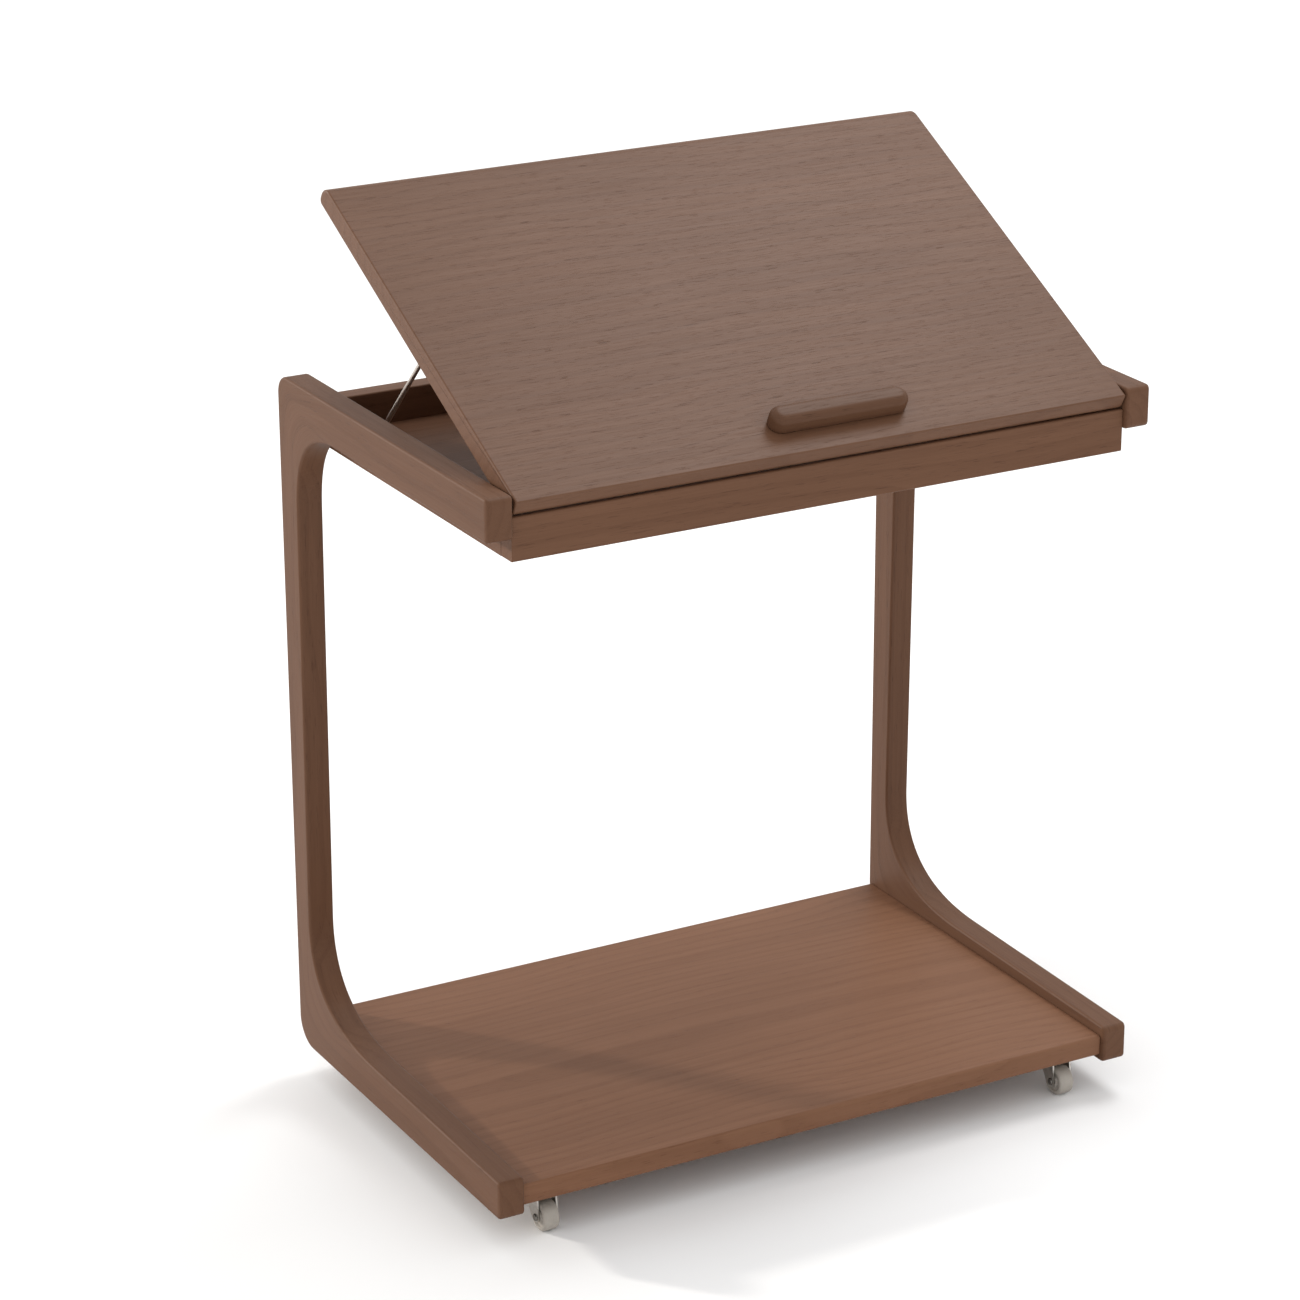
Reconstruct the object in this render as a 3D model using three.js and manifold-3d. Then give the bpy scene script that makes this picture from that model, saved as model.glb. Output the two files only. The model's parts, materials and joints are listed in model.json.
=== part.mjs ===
// Rolling side table with a tilting reading top.
// Two C-shaped walnut side frames carry a low shelf and a shallow tray. The tray's lid is the
// table top: it turns on two pins at its front edge and is propped by a slotted stay on each side.
//
// Millimetres. +Z is up, +X is to the user's right, and -Y is the open front of the C.
// The origin is on the floor, under the middle of the footprint.

import * as THREE from 'three';
import { mergeVertices } from 'three/addons/utils/BufferGeometryUtils.js';
import Module from 'manifold-3d';

// ---------------------------------------------------------------- driving dimensions

const WIDTH = 600;
const DEPTH = 380;
const TOP = 630;
const FRAME_THICK = 23;
const SLIT = 0.2;

const ARM_FRONT = -188;
const ARM_HEIGHT = 35;
const RAIL_FRONT = -DEPTH / 2;
const RAIL_BOTTOM = 30;
const RAIL_TOP_FRONT = 62.5;
const RAIL_TOP_BACK = 65.5;
const LEG_BACK = DEPTH / 2;
const LEG_FRONT_TOP = 157.5;
const LEG_FRONT_BOTTOM = 162.5;
const TOP_BEND = 75;
const RAIL_BEND_UP = 85;
const RAIL_BEND_ALONG = 122;
const TOP_BACK_RADIUS = 16;
const BOTTOM_BACK_RADIUS = 25;
const END_RADIUS = 6;
const WOOD_ROUND = 3;

const SHELF_TOP = 54;
const SHELF_THICK = 18;
const SHELF_FRONT = -185;
const SHELF_BACK = 186;

const TRAY_BOTTOM = 576;
const TRAY_RIM = 611.6;
const APRON_FRONT = -183;
const APRON_THICK = 18;
const TRAY_BACK = 174;
const BACK_THICK = 18;
const TRAY_SIDE_THICK = 12;
const TRAY_FLOOR_TOP = 584;
const TRAY_FLOOR_THICK = 5;
const GROOVE_DEPTH = 5;

const PANEL_WIDTH = 551;
const PANEL_LENGTH = 372;
const PANEL_THICK = 18;
const PANEL_CORNER = 2;
const LID_REST_DEG = 27.35;
const LID_MAX_DEG = 38;
const NOSE = PANEL_THICK / 2;
const PIVOT_Y = -176.5;
const PIVOT_Z = TOP - NOSE;

const STOP_LENGTH = 124;
const STOP_DEPTH = 20;
const STOP_HEIGHT = 15;
const STOP_CENTRE_X = 20;
const STOP_FROM_EDGE = 22;
const STOP_ROUND = 4.5;

const PIN_RADIUS = 3;
const PIN_IN_ARM = 14;
const PIN_IN_PANEL = 22;

const STAY_X = 260;
const STAY_PIVOT_Y = 183;
const STAY_PIVOT_Z = -19;
const STAY_LENGTH = 129.5;
const STAY_SLOT_Z = 596;
const STAY_WIRE = 2;
const STAY_EYE = 5;
const STAY_EYE_THICK = 2.4;
const SLIDER_RADIUS = 2.1;
const RUNNING_PLAY = 0.06;
const SLOT_HALF = 2.7;
const BRACKET_GAP = STAY_WIRE + 0.4;
const BRACKET_THICK = 1.6;
const TRACK_HALF = 5.4;
const TRACK_THICK = 1.5;
const POCKET_HALF = 4.6;
const POCKET_DEPTH = 4.2;

const CASTER_X = 248;
const CASTER_FRONT_Y = -159.6;
const CASTER_BACK_Y = 160.6;
const WHEEL_RADIUS = 12.5;
const WHEEL_WIDTH = 14;
const CASTER_TRAIL = 8;
const CASTER_HEIGHT = SHELF_TOP - SHELF_THICK;

// ---------------------------------------------------------------- finishes

const finish = (color, roughness, metalness) =>
  new THREE.MeshStandardMaterial({ color, roughness, metalness });

const walnut = () => finish('#7b5b47', 0.5, 0);
const walnutEnd = () => finish('#6b4c3a', 0.5, 0);
const darkWalnut = () => finish('#5c3c2c', 0.42, 0);
const beech = () => finish('#c9a77c', 0.6, 0);
const steel = () => finish('#c4c0ba', 0.3, 1);
const darkSteel = () => finish('#6d6a66', 0.4, 1);
const nylon = () => finish('#2a2826', 0.55, 0);
const greyRubber = () => finish('#a39d95', 0.6, 0);

// ---------------------------------------------------------------- joining and cutting

const wasm = await Module();
wasm.setup();

/** A closed three.js geometry as a manifold solid. */
function solidOf(geometry) {
  const bare = geometry.clone();
  bare.deleteAttribute('normal');
  bare.deleteAttribute('uv');
  const merged = mergeVertices(bare, 1e-4);
  return new wasm.Manifold(new wasm.Mesh({
    numProp: 3,
    vertProperties: new Float32Array(merged.attributes.position.array),
    triVerts: new Uint32Array(merged.index.array),
  }));
}

/** A manifold solid back as a three.js geometry. */
function geometryOf(solid) {
  const { vertProperties, triVerts } = solid.getMesh();
  const geometry = new THREE.BufferGeometry();
  geometry.setAttribute('position', new THREE.BufferAttribute(vertProperties, 3));
  geometry.setIndex(new THREE.BufferAttribute(triVerts, 1));
  return geometry;
}

const cut = (geometry, ...tools) =>
  geometryOf(tools.reduce((left, tool) => left.subtract(solidOf(tool)), solidOf(geometry)));

const join = (geometry, ...others) =>
  geometryOf(others.reduce((whole, other) => whole.add(solidOf(other)), solidOf(geometry)));

const common = (first, second) => geometryOf(solidOf(first).intersect(solidOf(second)));

// ---------------------------------------------------------------- shape helpers

/** A box between two corners. */
function block([x0, y0, z0], [x1, y1, z1]) {
  const box = new THREE.BoxGeometry(x1 - x0, y1 - y0, z1 - z0);
  return box.translate((x0 + x1) / 2, (y0 + y1) / 2, (z0 + z1) / 2);
}

/** A round bar along X, centred at (y, z). */
function barX(radius, x0, x1, y, z, sides = 24) {
  const bar = new THREE.CylinderGeometry(radius, radius, Math.abs(x1 - x0), sides);
  return bar.rotateZ(Math.PI / 2).translate((x0 + x1) / 2, y, z);
}

/** A round bar along Z, centred at (x, y). */
function barZ(radius, z0, z1, x, y, sides = 24) {
  const bar = new THREE.CylinderGeometry(radius, radius, z1 - z0, sides);
  return bar.rotateX(Math.PI / 2).translate(x, y, (z0 + z1) / 2);
}

/** A turned piece on the X axis: profile points are (radius, distance along X). */
function turnedX(points, sides = 24) {
  const profile = points.map(([radius, along]) => new THREE.Vector2(radius, along));
  return new THREE.LatheGeometry(profile, sides).rotateZ(-Math.PI / 2);
}

/** Extrude an outline drawn in (y, z) along X, with its long edges rounded by `round`. */
function extrudeX(shape, x0, x1, round = 0, curveSegments = 8) {
  const solid = new THREE.ExtrudeGeometry(shape, {
    depth: x1 - x0 - 2 * round,
    curveSegments,
    bevelEnabled: round > 0,
    bevelThickness: round,
    bevelSize: round,
    bevelOffset: -round,
    bevelSegments: 2,
  });
  const drawnAxes = new THREE.Matrix4().makeBasis(
    new THREE.Vector3(0, 1, 0),
    new THREE.Vector3(0, 0, 1),
    new THREE.Vector3(1, 0, 0),
  );
  return solid.applyMatrix4(drawnAxes).translate(x0 + round, 0, 0);
}

/** Extrude an outline drawn in (x, y) along Z, with its long edges rounded by `round`. */
function extrudeZ(shape, z0, z1, round = 0, curveSegments = 6) {
  const solid = new THREE.ExtrudeGeometry(shape, {
    depth: z1 - z0 - 2 * round,
    curveSegments,
    bevelEnabled: round > 0,
    bevelThickness: round,
    bevelSize: round,
    bevelOffset: -round,
    bevelSegments: 3,
  });
  return solid.translate(0, 0, z0 + round);
}

/** A closed outline through (u, v) corners, each corner rounded by its own radius. */
function roundedOutline(corners) {
  const shape = new THREE.Shape();
  const count = corners.length;
  corners.forEach(([u, v, radius], index) => {
    const here = new THREE.Vector2(u, v);
    const before = new THREE.Vector2(...corners[(index + count - 1) % count].slice(0, 2));
    const after = new THREE.Vector2(...corners[(index + 1) % count].slice(0, 2));
    const enter = here.clone().add(before.sub(here).setLength(radius));
    const leave = here.clone().add(after.sub(here).setLength(radius));
    if (index === 0) shape.moveTo(enter.x, enter.y);
    else shape.lineTo(enter.x, enter.y);
    if (radius > 0) roundCorner(shape, enter, here, leave, radius);
  });
  shape.closePath();
  return shape;
}

/** A quarter-round drawn as one cubic, which stays tangent to both sides. */
function roundCorner(shape, enter, corner, leave) {
  const pull = 0.5523;
  const first = enter.clone().lerp(corner, pull);
  const second = leave.clone().lerp(corner, pull);
  shape.bezierCurveTo(first.x, first.y, second.x, second.y, leave.x, leave.y);
}

/** A named mesh. */
function piece(name, geometry, material) {
  const mesh = new THREE.Mesh(geometry, material);
  mesh.name = name;
  return mesh;
}

// ---------------------------------------------------------------- side frames

/** The whole C in side view: arm, leg and rail in one outline. */
function frameOutline() {
  const armBottom = TOP - ARM_HEIGHT;
  const shape = new THREE.Shape();
  const turn = (fromY, fromZ, cornerY, cornerZ, toY, toZ) => {
    shape.lineTo(fromY, fromZ);
    const from = new THREE.Vector2(fromY, fromZ);
    roundCorner(shape, from, new THREE.Vector2(cornerY, cornerZ), new THREE.Vector2(toY, toZ));
  };
  shape.moveTo(ARM_FRONT + END_RADIUS, armBottom);
  shape.lineTo(LEG_FRONT_TOP - TOP_BEND, armBottom);
  shape.quadraticCurveTo(LEG_FRONT_TOP, armBottom, LEG_FRONT_TOP, armBottom - TOP_BEND);
  shape.lineTo(LEG_FRONT_BOTTOM, RAIL_TOP_BACK + RAIL_BEND_UP);
  shape.quadraticCurveTo(
    LEG_FRONT_BOTTOM, RAIL_TOP_BACK,
    LEG_FRONT_BOTTOM - RAIL_BEND_ALONG, RAIL_TOP_BACK,
  );
  turn(RAIL_FRONT + END_RADIUS, RAIL_TOP_FRONT, RAIL_FRONT, RAIL_TOP_FRONT,
    RAIL_FRONT, RAIL_TOP_FRONT - END_RADIUS);
  turn(RAIL_FRONT, RAIL_BOTTOM + END_RADIUS, RAIL_FRONT, RAIL_BOTTOM,
    RAIL_FRONT + END_RADIUS, RAIL_BOTTOM);
  turn(LEG_BACK - BOTTOM_BACK_RADIUS, RAIL_BOTTOM, LEG_BACK, RAIL_BOTTOM,
    LEG_BACK, RAIL_BOTTOM + BOTTOM_BACK_RADIUS);
  turn(LEG_BACK, TOP - TOP_BACK_RADIUS, LEG_BACK, TOP, LEG_BACK - TOP_BACK_RADIUS, TOP);
  turn(ARM_FRONT + END_RADIUS, TOP, ARM_FRONT, TOP, ARM_FRONT, TOP - END_RADIUS);
  turn(ARM_FRONT, armBottom + END_RADIUS, ARM_FRONT, armBottom, ARM_FRONT + END_RADIUS, armBottom);
  shape.closePath();
  return shape;
}

/** A mitred corner: where its line starts outside, and its direction into the C. */
function mitre(outerY, outerZ, innerY, innerZ, middle) {
  const start = new THREE.Vector2(outerY, outerZ);
  const along = new THREE.Vector2(innerY - outerY, innerZ - outerZ).normalize();
  const across = new THREE.Vector2(-along.y, along.x);
  return { start, along, across, centre: start.clone().addScaledVector(along, middle) };
}

const TOP_MITRE = mitre(LEG_BACK, TOP, LEG_FRONT_TOP, TOP - ARM_HEIGHT, 40);
const BOTTOM_MITRE = mitre(LEG_BACK, RAIL_BOTTOM, LEG_FRONT_BOTTOM, RAIL_TOP_BACK, 44);

const TENON_THICK = 8;
const TENON_WIDTH = 28;
const TENON_LENGTH = 36;
const TENON_PLAY = 0.15;

/** A point of a mitre line, `reach` along it and half a slit to one side. */
function mitrePoint({ start, along, across }, reach, side) {
  return start.clone().addScaledVector(along, reach).addScaledVector(across, side * SLIT / 2);
}

/** The side-view regions that part the C into arm, leg and rail. */
function frameRegions() {
  const far = 400;
  const reach = 150;
  const region = (...points) => new THREE.Shape(points);
  const at = (y, z) => new THREE.Vector2(y, z);
  return {
    arm: region(mitrePoint(TOP_MITRE, -60, -1), at(-far, TOP + 60), at(-far, 300),
      mitrePoint(TOP_MITRE, reach, -1)),
    leg: region(mitrePoint(TOP_MITRE, -60, 1), mitrePoint(TOP_MITRE, reach, 1),
      mitrePoint(BOTTOM_MITRE, reach, -1), mitrePoint(BOTTOM_MITRE, -60, -1),
      at(far, -60), at(far, TOP + 60)),
    rail: region(mitrePoint(BOTTOM_MITRE, -60, 1), mitrePoint(BOTTOM_MITRE, reach, 1),
      at(-far, 300), at(-far, -60)),
  };
}

/** The loose tenon that crosses a mitre, larger all round by `play` when it is the mortise. */
function tenon({ centre, along }, middleX, play = 0) {
  const bar = new THREE.BoxGeometry(
    TENON_THICK + 2 * play, TENON_WIDTH + 2 * play, TENON_LENGTH + 2 * play,
  );
  return bar.rotateX(Math.atan2(along.y, along.x)).translate(middleX, centre.x, centre.y);
}

/** One C frame with its mortises and holes: side is -1 for left and +1 for right. */
function sideFrame(side) {
  const label = side < 0 ? 'left' : 'right';
  const inner = side * (WIDTH / 2 - FRAME_THICK);
  const outer = side * WIDTH / 2;
  const low = Math.min(inner, outer);
  const high = Math.max(inner, outer);
  const middle = (inner + outer) / 2;
  const blank = extrudeX(frameOutline(), low, high, WOOD_ROUND);
  const regions = frameRegions();
  const part = (region) => common(blank, extrudeX(region, low - 1, high + 1));
  const topMortise = tenon(TOP_MITRE, middle, TENON_PLAY);
  const bottomMortise = tenon(BOTTOM_MITRE, middle, TENON_PLAY);
  const pinHole = barX(PIN_RADIUS + 0.06, inner - side, inner + side * (PIN_IN_ARM + 0.3),
    PIVOT_Y, PIVOT_Z, 32);
  const screwHoles = TRAY_SCREWS_Y.map((y) =>
    barX(SCREW_SHANK + 0.15, inner - side, inner + side * (SCREW_LENGTH - TRAY_SIDE_THICK + 0.4),
      y, TRAY_SCREW_Z, 16));
  const dowelHoles = SHELF_DOWELS_Y.map((y) =>
    barX(DOWEL_RADIUS + 0.12, inner - side, inner + side * (DOWEL_IN_RAIL + 0.3), y, DOWEL_Z, 16));
  return [
    piece(`${label}_arm`, cut(part(regions.arm), topMortise, pinHole, ...screwHoles), walnut()),
    piece(`${label}_leg`, cut(part(regions.leg), topMortise, bottomMortise), walnut()),
    piece(`${label}_rail`, cut(part(regions.rail), bottomMortise, ...dowelHoles), walnut()),
    piece(`${label}_arm_tenon`, tenon(TOP_MITRE, middle), beech()),
    piece(`${label}_rail_tenon`, tenon(BOTTOM_MITRE, middle), beech()),
  ];
}

// ---------------------------------------------------------------- shelf

const DOWEL_RADIUS = 4;
const DOWEL_IN_RAIL = 15;
const DOWEL_IN_SHELF = 22;
const DOWEL_Z = SHELF_TOP - SHELF_THICK / 2;
const SHELF_DOWELS_Y = [-120, 100];
const SHELF_HALF = WIDTH / 2 - FRAME_THICK - SLIT;

/** The low shelf, drilled at both ends for its dowels. */
function shelf() {
  const under = SHELF_TOP - SHELF_THICK;
  const outline = roundedOutline([
    [SHELF_FRONT, under, 2], [SHELF_BACK, under, 2],
    [SHELF_BACK, SHELF_TOP, 2.5], [SHELF_FRONT, SHELF_TOP, 2.5],
  ]);
  const board = extrudeX(outline, -SHELF_HALF, SHELF_HALF, 0, 4);
  const holes = [-1, 1].flatMap((side) => SHELF_DOWELS_Y.map((y) =>
    barX(DOWEL_RADIUS + 0.12, side * (SHELF_HALF + 1), side * (SHELF_HALF - DOWEL_IN_SHELF - 0.5),
      y, DOWEL_Z, 16)));
  return piece('shelf', cut(board, ...holes), walnut());
}

/** The dowels that hold the shelf to the rails. */
function shelfDowels() {
  const joint = WIDTH / 2 - FRAME_THICK;
  return [-1, 1].flatMap((side) => SHELF_DOWELS_Y.map((y, index) => {
    const name = `shelf_dowel_${side < 0 ? 'left' : 'right'}_${index === 0 ? 'front' : 'back'}`;
    const bar = barX(DOWEL_RADIUS, side * (joint - DOWEL_IN_SHELF), side * (joint + DOWEL_IN_RAIL),
      y, DOWEL_Z, 16);
    return piece(name, bar, beech());
  }));
}

// ---------------------------------------------------------------- tray

const SCREW_SHANK = 1.9;
const SCREW_HEAD = 3.6;
const SCREW_LENGTH = 27;
const TRAY_SCREWS_Y = [-128, -8];
const TRAY_SCREW_Z = 603;
const TRAY_HALF = WIDTH / 2 - FRAME_THICK - SLIT;

/** A board of the tray with softened long edges, as an extrusion along X. */
function crossBoard(front, back) {
  const outline = roundedOutline([
    [front, TRAY_BOTTOM, 1.5], [back, TRAY_BOTTOM, 1.5],
    [back, TRAY_RIM, 1.5], [front, TRAY_RIM, 1.5],
  ]);
  return extrudeX(outline, -TRAY_HALF, TRAY_HALF, 0, 3);
}

/** The floor panel, grown all round by `play` when it is the groove. */
function trayFloorBlock(play = 0) {
  const half = TRAY_HALF - TRAY_SIDE_THICK + GROOVE_DEPTH;
  const front = APRON_FRONT + APRON_THICK - GROOVE_DEPTH;
  const back = TRAY_BACK - BACK_THICK + GROOVE_DEPTH;
  return block(
    [-half - play, front - play, TRAY_FLOOR_TOP - TRAY_FLOOR_THICK - play],
    [half + play, back + play, TRAY_FLOOR_TOP + play],
  );
}

/** A countersunk wood screw at (y, z), driven outwards from the face at x. */
function countersunkScrew(side, x, y, z, length, play = 0) {
  const head = SCREW_HEAD + play;
  const shank = SCREW_SHANK + play;
  const screw = turnedX([
    [0, 0], [head, 0], [head, 0.4], [shank, 2.4], [shank, length - 3 + play], [0, length + play],
  ], 16);
  return (side < 0 ? screw.rotateZ(Math.PI) : screw).translate(x, y, z);
}

/** The tray's side board, with its screw holes and the pocket behind the stay's slot. */
function traySide(side) {
  const inner = side * (TRAY_HALF - TRAY_SIDE_THICK);
  const outer = side * TRAY_HALF;
  const front = APRON_FRONT + APRON_THICK + SLIT;
  const back = TRAY_BACK - BACK_THICK - SLIT;
  const board = block(
    [Math.min(inner, outer), front, TRAY_BOTTOM],
    [Math.max(inner, outer), back, TRAY_RIM],
  );
  const holes = TRAY_SCREWS_Y.map((y) =>
    countersunkScrew(side, inner - side * 0.01, y, TRAY_SCREW_Z, SCREW_LENGTH, 0.15));
  const pocketLow = Math.min(inner - side, inner + side * POCKET_DEPTH);
  const pocketHigh = Math.max(inner - side, inner + side * POCKET_DEPTH);
  const pocket = extrudeX(slotBand(POCKET_HALF), pocketLow, pocketHigh);
  const pilots = trackScrewPlaces().map((place) => trackScrew(side, place, 0.15));
  const name = `tray_${side < 0 ? 'left' : 'right'}_side`;
  return piece(name, cut(board, trayFloorBlock(0.15), pocket, ...holes, ...pilots), walnutEnd());
}

/** The apron, the back board and the floor. */
function trayBoards() {
  const groove = trayFloorBlock(0.15);
  return [
    piece('front_apron', cut(crossBoard(APRON_FRONT, APRON_FRONT + APRON_THICK), groove), walnut()),
    piece('tray_back_board', cut(crossBoard(TRAY_BACK - BACK_THICK, TRAY_BACK), groove), walnut()),
    piece('tray_floor', trayFloorBlock(), walnutEnd()),
  ];
}

/** The screws that hold the tray's sides to the arms. */
function trayScrews() {
  const face = TRAY_HALF - TRAY_SIDE_THICK;
  return [-1, 1].flatMap((side) => TRAY_SCREWS_Y.map((y, index) => {
    const name = `tray_screw_${side < 0 ? 'left' : 'right'}_${index === 0 ? 'front' : 'back'}`;
    const screw = countersunkScrew(side, side * (face + 0.1), y, TRAY_SCREW_Z, SCREW_LENGTH);
    return piece(name, screw, steel());
  }));
}

// ---------------------------------------------------------------- lid

/** The table top in the lid's own frame: the pivot is the origin and the lid lies flat. */
function tiltPanel() {
  const half = PANEL_WIDTH / 2;
  const back = PANEL_LENGTH - NOSE;
  const section = roundedOutline([
    [-NOSE, -NOSE, NOSE], [back, -NOSE, 4], [back, NOSE, 12.5], [-NOSE, NOSE, 2.5],
  ]);
  const plan = roundedOutline([
    [-half, -NOSE, 2], [half, -NOSE, 2], [half, back, PANEL_CORNER], [-half, back, PANEL_CORNER],
  ]);
  const board = common(
    extrudeX(section, -half, half, 2, 6),
    extrudeZ(plan, -PANEL_THICK, PANEL_THICK),
  );
  const pinHoles = [-1, 1].map((side) =>
    barX(PIN_RADIUS + 0.08, side * (half + 1), side * (half - PIN_IN_PANEL - 0.5), 0, 0, 32));
  return piece('tilt_panel', cut(board, ...pinHoles), walnut());
}

/** The rounded bar that keeps a book from sliding off. */
function bookStop() {
  const front = STOP_FROM_EDGE - NOSE;
  const x0 = STOP_CENTRE_X - STOP_LENGTH / 2;
  const x1 = STOP_CENTRE_X + STOP_LENGTH / 2;
  const round = STOP_DEPTH / 2 - 0.5;
  const outline = roundedOutline([
    [x0, front, round], [x1, front, round],
    [x1, front + STOP_DEPTH, round], [x0, front + STOP_DEPTH, round],
  ]);
  const seat = NOSE + SLIT;
  const bar = extrudeZ(outline, seat - STOP_ROUND, seat + STOP_HEIGHT, STOP_ROUND);
  const under = block([x0 - 1, front - 1, seat - 20], [x1 + 1, front + STOP_DEPTH + 1, seat]);
  return piece('book_stop', cut(bar, under), darkWalnut());
}

/** The bracket under the panel that holds the top of a stay. */
function stayBracket(side) {
  const plateTop = -NOSE - SLIT;
  const tabIn = STAY_X - BRACKET_GAP;
  const tabOut = tabIn - BRACKET_THICK;
  const tab = roundedOutline([
    [STAY_PIVOT_Y - 7, STAY_PIVOT_Z - 5, 4.9], [STAY_PIVOT_Y + 7, STAY_PIVOT_Z - 5, 4.9],
    [STAY_PIVOT_Y + 9, plateTop, 0], [STAY_PIVOT_Y - 9, plateTop, 0],
  ]);
  const flat = block(
    [tabIn - 21, STAY_PIVOT_Y - 9, plateTop - BRACKET_THICK],
    [tabIn, STAY_PIVOT_Y + 9, plateTop],
  );
  const hole = barX(SLIDER_RADIUS + RUNNING_PLAY, tabOut - 1, tabIn + 1,
    STAY_PIVOT_Y, STAY_PIVOT_Z);
  const bracket = cut(join(extrudeX(tab, tabOut, tabIn, 0, 5), flat), hole);
  return side < 0 ? mirrorX(bracket) : bracket;
}

/** A geometry seen in the X = 0 mirror, with its faces turned the right way out again. */
function mirrorX(geometry) {
  return geometryOf(solidOf(geometry).mirror([1, 0, 0]));
}

/** The rivet that joins a stay to its bracket. */
function stayRivet(side) {
  const eyeOut = STAY_X + STAY_EYE_THICK / 2;
  const eyeIn = STAY_X - STAY_EYE_THICK / 2;
  const tabIn = STAY_X - BRACKET_GAP;
  const tabOut = tabIn - BRACKET_THICK;
  const shank = SLIDER_RADIUS;
  const rivet = turnedX([
    [0, tabOut - 1.4], [2.6, tabOut - 1.4], [3.4, tabOut - 0.3], [shank, tabOut - 0.3],
    [shank, tabIn + 0.1], [3.3, tabIn + 0.1], [3.3, eyeIn - 0.15], [shank, eyeIn - 0.15],
    [shank, eyeOut + 0.2], [3.4, eyeOut + 0.2], [2.6, eyeOut + 1.3], [0, eyeOut + 1.3],
  ]);
  rivet.translate(0, STAY_PIVOT_Y, STAY_PIVOT_Z);
  return side < 0 ? mirrorX(rivet) : rivet;
}

/** Everything that tilts, in a group turned about the pivot pins. */
function lid() {
  const group = new THREE.Group();
  group.position.set(0, PIVOT_Y, PIVOT_Z);
  group.rotation.x = THREE.MathUtils.degToRad(LID_REST_DEG);
  group.add(tiltPanel(), bookStop());
  for (const side of [-1, 1]) {
    const label = side < 0 ? 'left' : 'right';
    group.add(piece(`${label}_stay_bracket`, stayBracket(side), steel()));
    group.add(piece(`${label}_stay_rivet`, stayRivet(side), darkSteel()));
  }
  return group;
}

/** The steel pins that the lid turns on, and the nylon washers beside it. */
function pivots() {
  const arm = WIDTH / 2 - FRAME_THICK;
  const panel = PANEL_WIDTH / 2;
  return [-1, 1].flatMap((side) => {
    const label = side < 0 ? 'left' : 'right';
    const pin = barX(PIN_RADIUS, side * (panel - PIN_IN_PANEL), side * (arm + PIN_IN_ARM),
      PIVOT_Y, PIVOT_Z, 32);
    const disc = barX(6.5, side * (panel + 0.3), side * (arm - 0.3), PIVOT_Y, PIVOT_Z, 32);
    const bore = barX(PIN_RADIUS + 0.15, side * (panel - 1), side * (arm + 1), PIVOT_Y, PIVOT_Z, 32);
    return [
      piece(`${label}_pivot_pin`, pin, steel()),
      piece(`${label}_pivot_washer`, cut(disc, bore), nylon()),
    ];
  });
}

// ---------------------------------------------------------------- stays

const rad = THREE.MathUtils.degToRad;

/** The stay's upper pivot, in (y, z), with the lid open by `lidDeg`. */
function stayPivot(lidDeg) {
  const arm = new THREE.Vector2(STAY_PIVOT_Y, STAY_PIVOT_Z);
  arm.rotateAround(new THREE.Vector2(), rad(lidDeg));
  return arm.add(new THREE.Vector2(PIVOT_Y, PIVOT_Z));
}

/** How far the stay points below level, in degrees, when its slider is at the slot's height. */
function stayDrop(lidDeg) {
  return THREE.MathUtils.radToDeg(Math.asin((stayPivot(lidDeg).y - STAY_SLOT_Z) / STAY_LENGTH));
}

// Against the lid, the stay turns by this much for each degree that the lid opens.
const STAY_RATIO = -(stayDrop(LID_REST_DEG) + LID_REST_DEG - stayDrop(0)) / LID_REST_DEG;

/** Where the slider is, in (y, z), with the lid open by `lidDeg`. */
function sliderPlace(lidDeg) {
  const turned = rad(lidDeg - stayDrop(0) + STAY_RATIO * lidDeg);
  const reach = new THREE.Vector2(Math.cos(turned), Math.sin(turned));
  return stayPivot(lidDeg).addScaledVector(reach, STAY_LENGTH);
}

/** The slot's centre line, from the closed lid's end to the open lid's end. */
function slotLine(overrun = 0.6, steps = 9) {
  const points = Array.from({ length: steps + 1 }, (_, i) => sliderPlace(LID_MAX_DEG * i / steps));
  const first = points[0].clone().sub(points[1]).setLength(overrun);
  const last = points[steps].clone().sub(points[steps - 1]).setLength(overrun);
  points[0].add(first);
  points[steps].add(last);
  return points;
}

/** A round-ended band of one width along the slot's centre line. */
function slotBand(half) {
  const line = slotLine();
  const capSteps = 5;
  const direction = (i) => line[Math.min(i + 1, line.length - 1)].clone()
    .sub(line[Math.max(i - 1, 0)]).normalize();
  const sideOf = (i, sign) => {
    const d = direction(i);
    return line[i].clone().add(new THREE.Vector2(-d.y, d.x).multiplyScalar(sign * half));
  };
  const cap = (i, sign) => {
    const d = direction(i).multiplyScalar(sign);
    return Array.from({ length: capSteps - 1 }, (_, k) => {
      const turn = Math.PI / 2 - Math.PI * (k + 1) / capSteps;
      const spoke = d.clone().rotateAround(new THREE.Vector2(), turn).multiplyScalar(half);
      return line[i].clone().add(spoke);
    });
  };
  const last = line.length - 1;
  const out = line.map((_, i) => sideOf(i, 1));
  const home = line.map((_, i) => sideOf(last - i, -1));
  return new THREE.Shape([...out, ...cap(last, 1), ...home, ...cap(0, -1)]);
}

const TRACK_SCREW_LENGTH = 9;

/** The two screws of a track, in (y, z): on its front ear and on its back tab. */
function trackScrewPlaces() {
  const line = slotLine();
  const back = line[0];
  const front = line[line.length - 1];
  return [[front.x - 11, front.y - 1.5], [back.x + 1, back.y + 9.2]];
}

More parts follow.
